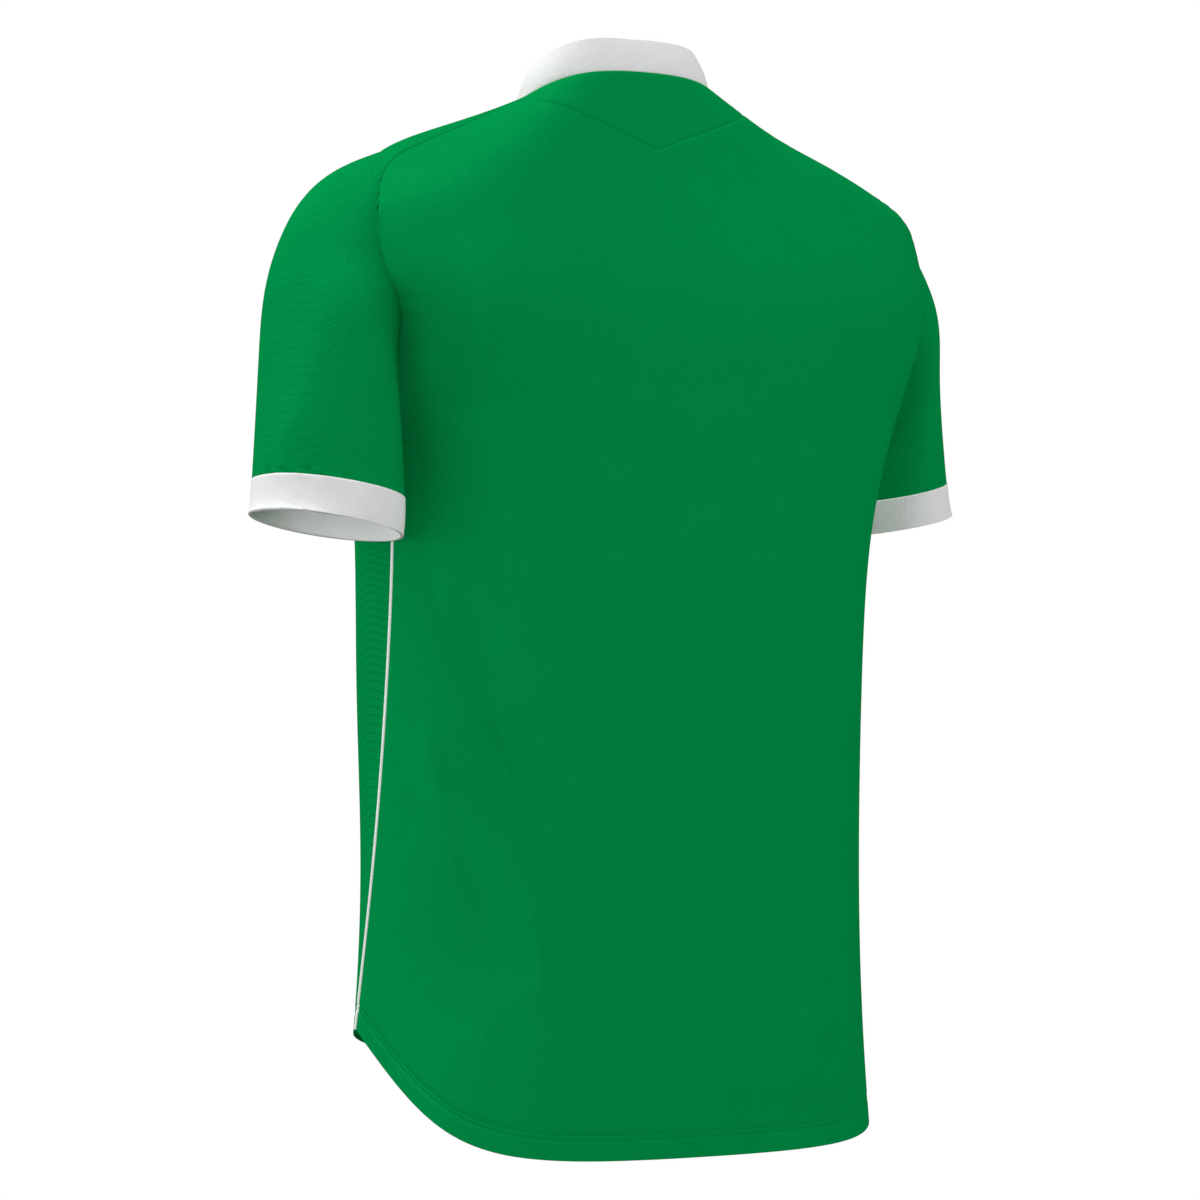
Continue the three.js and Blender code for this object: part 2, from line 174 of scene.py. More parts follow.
# Lines of the folds, from the top down, each named for where it lies
UPPER_RIDGE = [(192, 57, -310), (187, 61, -359), (178, 71, -399), (156, 85, -467), (146, 90, -507)]
INNER_RIDGE = [(191, 35, -436), (188, 47, -461), (186, 53, -491), (181, 63, -534), (171, 78, -603)]
LOWER_RIGHT = [(-87, 109, -639), (-91, 109, -680), (-94, 109, -722)]
SHOULDER = [(222, 60, -104), (211, 74, -90), (178, 80, -72), (138, 76, -55), (92, 69, -40)]
ARMHOLE_PUFF = [
    (222, 36, -62), (226, 41, -84), (229, 46, -106), (228, 49, -130), (225, 50, -155), (218, 48, -190),
]
ARMPIT = [(233, 51, -120), (230, 52, -150), (224, 50, -182), (215, 44, -220)]
ARMPIT_CREASE = [(224, 51, -151), (220, 49, -169), (214, 45, -189), (212, 45, -213)]
SLEEVE_RIDGE = [
    (243, 50, -128), (258, 54, -145), (271, 49, -183), (280, 41, -223), (289, 28, -263), (297, 14, -306),
]
MAIN_START = [
    (192, 10, -408), (190, 39, -440), (179, 66, -478), (163, 82, -501), (150, 88, -527),
    (141, 92, -560), (136, 97, -596), (134, 98, -622),
]
MAIN_CREST = MAIN_START + [(134, 98, -655), (136, 98, -690)]
MAIN_EDGE = MAIN_START + [
    (145, 95, -632), (160, 88, -643), (170, 82, -665), (174, 80, -695), (177, 79, -716),
]
INNER_CREST = INNER_RIDGE[:4] + [(176, 71, -571)] + INNER_RIDGE[4:]
UPPER_CREST = UPPER_RIDGE[:3] + [(168, 79, -432)] + UPPER_RIDGE[3:]

# Ridges: the pieces they cross, their line, their half widths to the left and to the right as seen from
# outside, and how far they rise. Those of all pieces lie on both sides of the jersey
FOLDS = [
    ("body", UPPER_RIDGE, 10, 24, 5),
    ("body", INNER_RIDGE, 18, 10, 3),
    ("body", LOWER_RIGHT, 40, 34, 4),
    ("all", SHOULDER, 26, 30, 5),
    ("all", ARMHOLE_PUFF, 20, 44, 9),
    ("all", ARMPIT, 16, 12, 5),
    ("all", ARMPIT_CREASE, 4, 4, -1.5),
    ("left", SLEEVE_RIDGE, 30, 42, 8),
]
FOLD_PLACES = 36
FOLD_FADE = 0.35

# Hollows that end in a sharp crest: the pieces, the crest's line, the hollow's width to the left of it at
# the top and lower down, and how deep it is as a share of its width
HOLLOWS = [
    ("body", MAIN_CREST, 14, 100, 0.045),
    ("body", UPPER_CREST, 40, 24, 0.07),
]
CREST_PLACES = 90
HOLLOW_FADE = 0.3
HOLLOW_FULL = 0.7
HOLLOW_PEAK = 6.75

# Painted shade in the folds' hollows and painted highlight on their crests, set into the cloth's colour:
# the pieces, the line, how far it reaches to the left and right, and the change on either side
PAINTED_FOLD_SHADES = [
    ("body", MAIN_EDGE, 45, 24, 0.05, -0.05),
    ("body", INNER_CREST, 26, 15, 0.02, -0.07),
    ("body", UPPER_CREST, 9, 26, 0.06, -0.05),
]
# How the painted shade and highlight die away towards the ends of their lines and away from them
PAINTED_SHADE_FADE = 0.25
PAINTED_SHADE_FALL = 0.7

# How softly a crest turns over, and how softly the painted shade and painted highlight meet along it
CREST_ROUND = 4
PAINTED_SHADE_EDGE = 3.5

# Camera, measured from the photograph
CAMERA_AZIMUTH = 37.65
CAMERA_ELEVATION = -0.78
CAMERA_DISTANCE = 4220.3
CAMERA_ASIDE = -4.0
CAMERA_HEIGHT = -357.6
CAMERA_LENS = 177.17

# Studio: the floor lies as far below the jersey as below a standing wearer, in metres
FLOOR_HEIGHT = -1.45
FLOOR_REACH = 7
WORLD_LIGHT = 0.3
SUN_WIDTH = 60
LAMPS = [
    ("key", 137, 60, 3.9, False),
    ("left", 88, 0, 0.9, True),
    ("left_fill", 88, 0, 0.5, False),
    ("front", 25, 5, 0.75, False),
    ("right", -36, 0, 2.4, True),
]


# Curves and sections


def spline(knots, values):
    """A natural cubic spline through values, which may be numbers or rows of numbers, at knots."""
    knots = np.asarray(knots, float)
    values = np.asarray(values, float)
    gap = np.diff(knots)
    last = len(knots) - 1
    system = np.zeros((last + 1, last + 1))
    turn = np.zeros_like(values)
    system[0, 0] = system[last, last] = 1
    for i in range(1, last):
        system[i, i - 1 : i + 2] = gap[i - 1], 2 * (gap[i - 1] + gap[i]), gap[i]
        turn[i] = 6 * ((values[i + 1] - values[i]) / gap[i] - (values[i] - values[i - 1]) / gap[i - 1])
    bend = np.linalg.solve(system, turn.reshape(last + 1, -1)).reshape(values.shape)

    def at(where):
        where = np.asarray(where, float)
        i = np.clip(np.searchsorted(knots, where, side="right") - 1, 0, last - 1)
        wide = where.shape + (1,) * (values.ndim - 1)
        after = (where - knots[i]).reshape(wide)
        before = (knots[i + 1] - where).reshape(wide)
        span = gap[i].reshape(wide)
        return (
            (bend[i] * before**3 + bend[i + 1] * after**3) / (6 * span)
            + (values[i] / span - bend[i] * span / 6) * before
            + (values[i + 1] / span - bend[i + 1] * span / 6) * after
        )

    return at


def sections(rows):
    """A table of sections becomes a function that gives its columns at any level."""
    table = np.array(rows, float)
    return spline(table[:, 0], table[:, 1:])


SIDE_SEAM = sections(SIDE_ROWS)
ARMHOLES = {panel: sections(rows) for panel, rows in ARMHOLE_ROWS.items()}
SECTIONS = {panel: sections(rows) for panel, rows in SECTION_ROWS.items()}
COLLAR_BAND = sections(COLLAR_ROWS)


def edge_point(panel, level):
    level = np.asarray(level, float)
    return np.where(level[..., None] <= UNDERARM, SIDE_SEAM(level), ARMHOLES[panel](level))


def bezier(points, share):
    """A cubic Bezier through arrays of points, at share, an array with one more axis at its end."""
    a, b, c, d = points
    rest = 1 - share
    return rest**3 * a + 3 * rest**2 * share * b + 3 * rest * share**2 * c + share**3 * d


def panel_point(panel, across, level):
    """Points of a body panel, from -1 at the wearer's right edge to 1 at the left edge."""
    across, level = np.broadcast_arrays(np.asarray(across, float), np.asarray(level, float))
    z, y, turn, centre_reach, edge_reach, drop = np.moveaxis(SECTIONS[panel](level), -1, 0)
    zero = np.zeros_like(y)
    centre = np.stack([zero, y, z], -1)
    edge = edge_point(panel, level)
    width = np.hypot(edge[..., 0], edge[..., 1] - y)
    heading = np.radians(turn)
    towards_edge = centre + np.stack([centre_reach * width, zero, zero], -1)
    way = np.stack([np.cos(heading), -OUTWARD[panel] * np.sin(heading), zero], -1)
    into_edge = edge - (edge_reach * width)[..., None] * way
    into_edge[..., 2] -= drop
    point = bezier((centre, towards_edge, into_edge, edge), np.abs(across)[..., None])
    point[..., 0] *= np.where(across < 0, -1, 1)
    return point


def back_level(across, level):
    """The back's rows lean towards the V seam as they near it."""
    share = np.abs(across)
    seam = YOKE_TIP + (YOKE_END - YOKE_TIP) * share * (1 + YOKE_BOW * (1 - share))
    pull = np.maximum(0, (level - UNDERARM) / (NECK - UNDERARM)) ** 2
    return level + (seam - NECK) * pull


def steps(start, stop, count, fine_start=(), fine_stop=()):
    """Even steps, with extra ones close to either end."""
    even = np.linspace(start, stop, count + 1)
    extra = [start + f for f in fine_start] + [stop - f for f in fine_stop]
    return np.unique(np.round(np.concatenate([even, extra]), 6))


HEM_ROWS = np.array([
    0, 0.7, 1.8, 4, 7, 10, 12, 13, 13.8, 14.6, 15.5, 16.4, 17.3, 18.2, 19, 19.8, 20.8, 23, 26, 30,
])
SKIRT_SHARES = np.linspace(0, 1, SKIRT_STEPS + 1)[1:]
UPPER_ROWS = steps(UNDERARM, CORNER, ARMHOLE_STEPS)[1:]
SADDLE_ROWS = steps(CORNER, NECK, SADDLE_STEPS, fine_stop=(0.012, 0.03, 0.06, 0.13))[1:]
EDGE_FINE = (0.003, 0.008, 0.014)
HALF_ACROSS = steps(0, 1, COLUMNS, fine_stop=EDGE_FINE)
ACROSS = np.concatenate([-HALF_ACROSS[:0:-1], HALF_ACROSS])
RIDGE_SHARES = steps(0, 1, RIDGE_STEPS, fine_start=(0.012, 0.035), fine_stop=(0.012, 0.035))
BACK_UPPER = np.concatenate([UPPER_ROWS, SADDLE_ROWS])
EDGE_UPPER = back_level(1, BACK_UPPER)
YOKE_SHARES = steps(0, 1, YOKE_STEPS, fine_start=(0.015, 0.04), fine_stop=(0.02, 0.05))
YOKE_EDGE = YOKE_END + (NECK - YOKE_END) * YOKE_SHARES[1:]
ARMHOLE_LEVELS = np.concatenate([[UNDERARM], EDGE_UPPER[: len(UPPER_ROWS)]])
SADDLE_LEVELS = np.concatenate([EDGE_UPPER[len(UPPER_ROWS) - 1 :], YOKE_EDGE])


def skirt_levels(panel, across):
    """Levels of the skirt's rows: the lowest ones lie at even distances above the hem."""
    small = 0.01
    run = panel_point(panel, across, small) - panel_point(panel, across, 0)
    per_level = np.linalg.norm(run, axis=-1) / small
    hem = HEM_ROWS[:, None] / per_level
    rest = hem[-1] + (UNDERARM - hem[-1]) * SKIRT_SHARES[:, None]
    return np.concatenate([hem, rest])


def back_grid():
    upper = back_level(ACROSS, BACK_UPPER[:, None])
    levels = np.concatenate([skirt_levels("back", ACROSS), upper])
    return panel_point("back", ACROSS, levels)[:, ::-1]


def yoke_grid():
    seam = back_level(ACROSS, NECK)
    levels = seam + (NECK - seam) * YOKE_SHARES[:, None]
    return panel_point("back", ACROSS, levels)[:, ::-1]


def front_grid():
    upper = np.concatenate([EDGE_UPPER, YOKE_EDGE])[:, None] + 0 * ACROSS
    levels = np.concatenate([skirt_levels("front", ACROSS), upper])
    return panel_point("front", ACROSS, levels)


def saddle_rows(levels):
    """Rows across the left saddle, from the back seam over the ridge to the front seam."""
    levels = np.asarray(levels, float)
    back = edge_point("back", levels)[:, None]
    front = edge_point("front", levels)[:, None]
    rise = RIDGE_RISE + (NECK_RISE - RIDGE_RISE) * (levels - CORNER) / (NECK - CORNER)
    up = np.stack([0 * rise, 0 * rise, rise], -1)[:, None]
    first = back + (front - back) / 3 + up
    second = back + (front - back) * 2 / 3 + up
    return bezier((back, first, second, front), RIDGE_SHARES[None, :, None])


def lengths_along(line):
    return np.concatenate([[0], np.cumsum(np.linalg.norm(np.diff(line, axis=0), axis=1))])


def armhole_loop():
    """Up the armhole's back, over the shoulder and down its front to the underarm."""
    ridge = saddle_rows(ARMHOLE_LEVELS[-1:])[0]
    up = edge_point("back", ARMHOLE_LEVELS)
    down = edge_point("front", ARMHOLE_LEVELS[::-1])
    return np.concatenate([up, ridge[1:], down[1:]])


def turns_of(loop):
    """How far round the sleeve each point of the armhole lies: half a turn at the ridge."""
    travelled = lengths_along(loop)
    top = len(ARMHOLE_LEVELS) - 1 + len(RIDGE_SHARES) // 2
    ridge = travelled[top]
    whole = travelled[-1]
    up = math.pi * travelled / ridge
    down = math.pi * (1 + (travelled - ridge) / (whole - ridge))
    return np.where(travelled <= ridge, up, down)


def sleeve_rows(arm, stations):
    loop = armhole_loop()
    turns = turns_of(loop)
    inward = (1 + np.cos(turns)) / 2
    rings = [loop]
    for inner_x, inner_z, outer_x, outer_z, y, half in SLEEVE_RINGS[arm]:
        x = outer_x + (inner_x - outer_x) * inward
        z = outer_z + (inner_z - outer_z) * inward
        rings.append(np.stack([x, y + half * np.sin(turns), z], -1))
    return spline(range(len(rings)), np.array(rings))(stations)


def mirror(grid):
    return (grid * (-1, 1, 1))[:, ::-1]


def collar_grid():
    """The collar stands on the neck's edge all round, leaning in, with a slight bow."""
    back = panel_point("back", HALF_ACROSS, NECK + 0 * HALF_ACROSS)
    front = panel_point("front", HALF_ACROSS, NECK + 0 * HALF_ACROSS)[::-1]
    line = np.concatenate([back, saddle_rows([NECK])[0][1:-1], front])
    middle = (line[0, 1] + line[-1, 1]) / 2
    travelled = lengths_along(line)
    rise, lean = COLLAR_BAND(2 * travelled / travelled[-1]).T
    outward = (line - (0, middle, 0)) * (1, 1, 0)
    outward /= np.linalg.norm(outward, axis=1)[:, None]
    rows = []
    for share in steps(0, 1, COLLAR_STEPS, fine_start=(0.03,), fine_stop=(0.03,)):
        bow = COLLAR_BOW * math.sin(math.pi * share)
        left = line + outward * (bow - lean * share)[:, None]
        left[:, 2] += rise * share
        right = left[1:-1][::-1] * (-1, 1, 1)
        rows.append(np.concatenate([right, left, right[:1]])[::-1])
    return np.array(rows)


SLEEVE_STATIONS = steps(0, CUFF_SEAM, SLEEVE_STEPS, fine_start=(0.02, 0.05), fine_stop=(0.02, 0.05))
CUFF_STATIONS = steps(CUFF_SEAM, CUFF_END, CUFF_STEPS, fine_start=(0.03,), fine_stop=(0.03,))


def sleeve_grids(arm):
    return [saddle_rows(SADDLE_LEVELS[::-1]), sleeve_rows(arm, SLEEVE_STATIONS)]


# Sheets of cloth


class Sheet:
    """A piece's outer face: its points, its quads, and where each corner lies on the flat cloth."""

    def __init__(self, name, node, group, wall, grids):
        self.name, self.node, self.group, self.wall = name, node, group, wall
        corners, quads, cloth = [], [], []
        count = 0
        for grid in grids:
            rows, columns = grid.shape[:2]
            ids = count + np.arange(rows * columns).reshape(rows, columns)
            ring = [ids[:-1, :-1], ids[:-1, 1:], ids[1:, 1:], ids[1:, :-1]]
            quads.append(np.stack(ring, -1).reshape(-1, 4))
            corners.append(grid.reshape(-1, 3))
            cloth.append(flat_of(grid).reshape(-1, 2))
            count += rows * columns
        corners = np.concatenate(corners)
        quads = np.concatenate(quads)
        _, first, number = np.unique(np.round(corners, 2), axis=0, return_index=True, return_inverse=True)
        self.base = corners[first]
        self.quads = number.reshape(-1)[quads]
        self.flat = np.concatenate(cloth)[quads]
        self.points = self.base.copy()

    def own_normals(self):
        a, b, c, d = (self.points[self.quads[:, i]] for i in range(4))
        cross = np.cross(c - a, d - b)
        total = np.zeros_like(self.points)
        for i in range(4):
            np.add.at(total, self.quads[:, i], cross)
        return total / np.linalg.norm(total, axis=1)[:, None]


def flat_of(grid):
    """Distances along a grid's middle column and across its rows, as on the flat cloth."""
    middle = grid.shape[1] // 2
    up = lengths_along(grid[:, middle])
    steps_across = np.linalg.norm(np.diff(grid, axis=1), axis=2)
    across = np.concatenate([np.zeros((len(grid), 1)), np.cumsum(steps_across, axis=1)], axis=1)
    across -= across[:, middle : middle + 1]
    return np.stack([across, np.broadcast_to(up[:, None], across.shape)], -1)


def weld(sheets):
    """Numbers for the points that pieces share."""
    every = np.concatenate([sheet.base for sheet in sheets])
    _, number = np.unique(np.round(every, 2), axis=0, return_inverse=True)
    number = number.reshape(-1)
    start = 0
    for sheet in sheets:
        sheet.shared = number[start : start + len(sheet.base)]
        start += len(sheet.base)


def shared_normals(sheets):
    """Directions out of the cloth, the same for every piece that meets at a point."""
    total = np.zeros((max(sheet.shared.max() for sheet in sheets) + 1, 3))
    for sheet in sheets:
        np.add.at(total, sheet.shared, sheet.own_normals())
    total /= np.linalg.norm(total, axis=1)[:, None]
    for sheet in sheets:
        sheet.normals = total[sheet.shared]


def curve_through(points, count):
    points = np.array(points, float)
    return spline(range(len(points)), points)(np.linspace(0, len(points) - 1, count))


def ends_fade(way, share):
    """From 0 at either end of a curve to 1 along its middle, with a soft start."""
    rise = np.clip(np.minimum(way, 1 - way) / share, 0, 1)
    return rise * rise * (3 - 2 * rise)


def beside(points, normals, curve, reach):
    """The points near a curve: which they are, how far down it and how far from it, and on which side."""
    low, high = curve.min(0) - reach, curve.max(0) + reach
    near = np.flatnonzero(((points > low) & (points < high)).all(1))
    offset = points[near][:, None] - curve[None]
    apart = np.linalg.norm(offset, axis=2)
    place = apart.argmin(1)
    pick = np.arange(len(near))
    along = np.gradient(curve, axis=0)[place]
    side = (np.cross(normals[near], along) * offset[pick, place]).sum(1)
    return near, (place + 0.5) / len(curve), apart[pick, place], side


def fold_lift(points, normals, curve, left, right, height):
    """A soft ridge or trough along a curve: it swells and dies away along its length."""
    lift = np.zeros(len(points))
    near, way, aside, side = beside(points, normals, curve, 3 * max(left, right))
    width = np.where(side > 0, right, left)
    lift[near] = height * ends_fade(way, FOLD_FADE) * np.exp(-((aside / width) ** 2))
    return lift


def hollow_lift(points, normals, curve, start, end, share):
    """A hollow on the left of a curve, which ends in a sharp crest along it."""
    lift = np.zeros(len(points))
    near, _, aside, side = beside(points, normals, curve, 1.1 * max(start, end))
    way = np.clip((curve[0, 2] - points[near, 2]) / (curve[0, 2] - curve[-1, 2]), 0, 1)
    width = start + (end - start) * np.minimum(way / HOLLOW_FULL, 1)
    away = np.clip(aside / width, 0, 1)
    rounded = 1 - np.exp(-((aside / CREST_ROUND) ** 2))
    swell = ends_fade(way, HOLLOW_FADE) * HOLLOW_PEAK * away * (1 - away) ** 2
    lift[near] = np.where(side < 0, -share * width * swell * rounded, 0)
    return lift


def painted_shade_of(points, normals, curve, left, right, change_left, change_right):
    """Painted shade and painted highlight beside a fold's line: how much darker or lighter the colour is
    made.
    """
    tone = np.zeros(len(points))
    near, way, aside, side = beside(points, normals, curve, max(left, right))
    over = 0.5 + 0.5 * np.tanh(np.sign(side) * aside / PAINTED_SHADE_EDGE)
    fall_left = np.clip(1 - aside / left, 0, 1) ** PAINTED_SHADE_FALL
    fall_right = np.clip(1 - aside / right, 0, 1) ** PAINTED_SHADE_FALL
    change = change_left * (1 - over) * fall_left + change_right * over * fall_right
    tone[near] = ends_fade(way, PAINTED_SHADE_FADE) * change
    return tone


def nearness(points, line, reach):
    """How near points are to a line, from 0 at reach or beyond to 1 on it."""
    out = np.zeros(len(points))
    low, high = line.min(0) - reach, line.max(0) + reach
    near = np.flatnonzero(((points > low) & (points < high)).all(1))
    for part in np.array_split(near, max(1, len(near) // 2000)):
        apart = np.linalg.norm(points[part][:, None] - line[None], axis=2).min(1)
        out[part] = np.clip(1 - apart / reach, 0, 1)
    return out


def both_sides(line):
    return [line, line * (-1, 1, 1)]


def seam_lines():
    side = edge_point("back", np.linspace(0, UNDERARM, 1300))
    arm = np.linspace(UNDERARM, CORNER, 1000)
    saddle = np.linspace(CORNER - 0.15, NECK, 600)
    neck_back = panel_point("back", np.linspace(-1, 1, 900), NECK)
    neck_front = panel_point("front", np.linspace(-1, 1, 900), NECK)
    yoke_across = np.linspace(-1, 1, 1000)
    yoke = panel_point("back", yoke_across, back_level(yoke_across, NECK))
    lines = both_sides(side)
    for panel in ("back", "front"):
        lines += both_sides(edge_point(panel, np.concatenate([arm, saddle])))
    return lines + [neck_back, neck_front, yoke]


def placed_folds():
    """The folds' curves. Those of all pieces lie on both sides of the jersey."""
    for group, points, left, right, height in FOLDS:
        curve = curve_through(points, FOLD_PLACES)
        yield group, curve, (left, right, height)
        if group == "all":
            yield group, curve * (-1, 1, 1), (right, left, height)


def shape_sheets(sheets):
    """Folds first, then the dip of the cloth at its seams."""
    weld(sheets)
    shared_normals(sheets)
    folds = [(fold_lift, *fold) for fold in placed_folds()]
    for group, points, *shape in HOLLOWS:
        folds.append((hollow_lift, group, curve_through(points, CREST_PLACES), shape))
    # Painted shade in the folds' hollows and painted highlight on their crests, for the colour
    painted_shades = [(group, curve_through(points, CREST_PLACES), shape) for group, points, *shape in PAINTED_FOLD_SHADES]
    lines = seam_lines()
    for sheet in sheets:
        lift = np.zeros(len(sheet.base))
        # sheet.tone is the painted shade and painted highlight at each point
        sheet.tone = np.zeros(len(sheet.base))
        for group, curve, shape in painted_shades:
            if group in (sheet.group, "all"):
                sheet.tone += painted_shade_of(sheet.base, sheet.normals, curve, *shape)
        for lift_of, group, curve, shape in folds:
            if group in (sheet.group, "all"):
                lift += lift_of(sheet.base, sheet.normals, curve, *shape)
        near = np.zeros(len(sheet.base))
        for line in lines:
            near = np.maximum(near, nearness(sheet.base, line, SEAM_REACH))
        lift -= SEAM_DIP * near**2 + hem_groove(sheet)
        if sheet.node.startswith("cuff"):
            lift += CUFF_STEP * (1 - near)
        sheet.points = sheet.base + sheet.normals * lift[:, None]
    shared_normals(sheets)


def hem_row(panel, above):
    """The row of a panel's points that lies at a height above its hem."""
    row = int(np.argmin(np.abs(HEM_ROWS - above)))
    return panel_point(panel, ACROSS, skirt_levels(panel, ACROSS)[row])


def hem_groove(sheet):
    """How deep the cloth dips where the twin rows hold the hem."""
    dip = np.zeros(len(sheet.base))
    if sheet.node in ("back", "front"):
        for above in STITCH_ROWS:
            dip = np.maximum(dip, nearness(sheet.base, hem_row(sheet.node, above), GROOVE_REACH))
    return GROOVE_DEPTH * dip


def stitches(name, sheet, material):
    """Rows of short stitches that lie along the hem."""
    turns = np.linspace(0, 2 * math.pi, STITCH_SIDES, endpoint=False)
    shape = [(-0.36, 0.85), (0, 1), (0.36, 0.85)]
    points, faces = [], []
    for above in STITCH_ROWS:
        row = hem_row(sheet.node, above)
        nearest = np.array([np.linalg.norm(sheet.base - point, axis=1).argmin() for point in row])
        line, out = sheet.points[nearest], sheet.normals[nearest]
        travelled = lengths_along(line)
        centres = np.arange(STITCH_PITCH, travelled[-1] - STITCH_PITCH, STITCH_PITCH)
        for centre in centres:
            place = np.array([np.interp(centre, travelled, line[:, axis]) for axis in range(3)])
            ahead = np.array([np.interp(centre + 1, travelled, line[:, axis]) for axis in range(3)])
            up = np.array([np.interp(centre, travelled, out[:, axis]) for axis in range(3)])
            along = (ahead - place) / np.linalg.norm(ahead - place)
            up -= along * (up @ along)
            up /= np.linalg.norm(up)
            aside = np.cross(up, along)
            start = len(points)
            points.append(place - along * STITCH_LENGTH / 2)
            for share, round_ in shape:
                middle = place + along * STITCH_LENGTH * share
                for turn in turns:
                    wide, high = math.cos(turn) * STITCH_HALF, math.sin(turn) * STITCH_HALF
                    points.append(middle + (aside * wide + up * high) * round_)
            points.append(place + along * STITCH_LENGTH / 2)
            faces += bead_faces(start, len(shape))
    return make_mesh(name, np.array(points), faces, material)


def bead_faces(start, rings):
    """Faces of a closed bead: a tip, some rings of points, and a tip."""
    sides = STITCH_SIDES
    faces = []
    last = start + 1 + rings * sides
    for i in range(sides):
        j = (i + 1) % sides
        faces.append((start, start + 1 + j, start + 1 + i))
        for ring in range(rings - 1):
            low = start + 1 + ring * sides
            faces.append((low + i, low + j, low + sides + j, low + sides + i))
        faces.append((last, last - sides + i, last - sides + j))
    return faces


def inner_wall(sheet):
    """The wall is thicker where the hem is turned up inside."""
    wall = np.full(len(sheet.base), float(sheet.wall))
    if sheet.node in ("back", "front"):
        across = np.linspace(-1, 1, 500)
        hem = panel_point(sheet.node, across, 0 * across)
        near = nearness(sheet.base, hem, HEM_DEPTH)
        wall += (HEM_WALL - sheet.wall) * np.clip(near * HEM_DEPTH, 0, 1)
    return wall[:, None]


def open_edges(quads):
    edges = np.concatenate([quads[:, [i, (i + 1) % 4]] for i in range(4)])
    _, number, count = np.unique(np.sort(edges, axis=1), axis=0, return_inverse=True, return_counts=True)
    return edges[count[number.reshape(-1)] == 1]


def make_mesh(name, points, faces, material, flat=None):
    mesh = bpy.data.meshes.new(name)
    mesh.from_pydata((points * MM).tolist(), [], [list(map(int, face)) for face in faces])
    mesh.polygons.foreach_set("use_smooth", [True] * len(mesh.polygons))
    if flat is not None:
        layer = mesh.uv_layers.new(name="cloth")
        layer.data.foreach_set("uv", (flat * MM).reshape(-1))
    mesh.materials.append(material)
    mesh.update()
    piece = bpy.data.objects.new(name, mesh)
    bpy.context.scene.collection.objects.link(piece)
    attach(piece, "root")
    return piece


def shell_of(sheet, material):
    """The closed shell of a piece: the outer face, the inner face, and a rim round its open edges."""
    count = len(sheet.points)
    inner = sheet.points - sheet.normals * inner_wall(sheet)
    edges = open_edges(sheet.quads)
    rim = np.stack([edges[:, 1], edges[:, 0], edges[:, 0] + count, edges[:, 1] + count], -1)
    faces = np.concatenate([sheet.quads, sheet.quads[:, ::-1] + count, rim])
    rim_flat = np.zeros((len(rim), 4, 2))
    flat = np.concatenate([sheet.flat, sheet.flat[:, ::-1], rim_flat])
    piece = make_mesh(sheet.name, np.concatenate([sheet.points, inner]), faces, material, flat)
    # The tone attribute holds the painted shade and painted highlight of the folds, none on the inner face
    layer = piece.data.attributes.new("tone", "FLOAT", "POINT")
    layer.data.foreach_set("value", np.concatenate([sheet.tone, 0 * sheet.tone]))
    return piece


def piping(name, sheet, side, material):
    """A rounded cord that lies in the side seam, over the edges of the front and the back."""
    levels = np.concatenate([skirt_levels("back", np.array([1.0]))[:-1, 0], [UNDERARM - PIPING_STOP]])
    line = edge_point("back", levels) * (side, 1, 1)
    nearest = np.array([np.linalg.norm(sheet.base - point, axis=1).argmin() for point in line])
    line = line + (sheet.points[nearest] - sheet.base[nearest])
    out = sheet.normals[nearest]
    along = np.gradient(line, axis=0)
    along /= np.linalg.norm(along, axis=1)[:, None]
    aside = np.cross(along, out)
    aside /= np.linalg.norm(aside, axis=1)[:, None]
    out = np.cross(aside, along)
    angles = np.linspace(0, math.pi, 9)
    outline = [(math.cos(a) * PIPING_HALF, math.sin(a) * PIPING_PROUD) for a in angles]
    outline += [(-PIPING_HALF, -PIPING_DEEP), (PIPING_HALF, -PIPING_DEEP)]
    count = len(outline)
    keep = np.ones(len(line))
    keep[-3:] = 0.9, 0.75, 0.45
    rounds = []
    for wide, high in outline:
        rounds.append(line + (aside * wide + out * (high + SEAM_DIP * 0.5)) * keep[:, None])
    points = np.stack(rounds, 1)
    faces = []
    for row in range(len(line) - 1):
        for i in range(count):
            a, b = row * count + i, row * count + (i + 1) % count
            faces.append((a, b, b + count, a + count))
    faces.append(tuple(range(count))[::-1])
    faces.append(tuple(range((len(line) - 1) * count, len(line) * count)))
    if side < 0:
        faces = [face[::-1] for face in faces]
    return make_mesh(name, points.reshape(-1, 3), faces, material)


# Materials


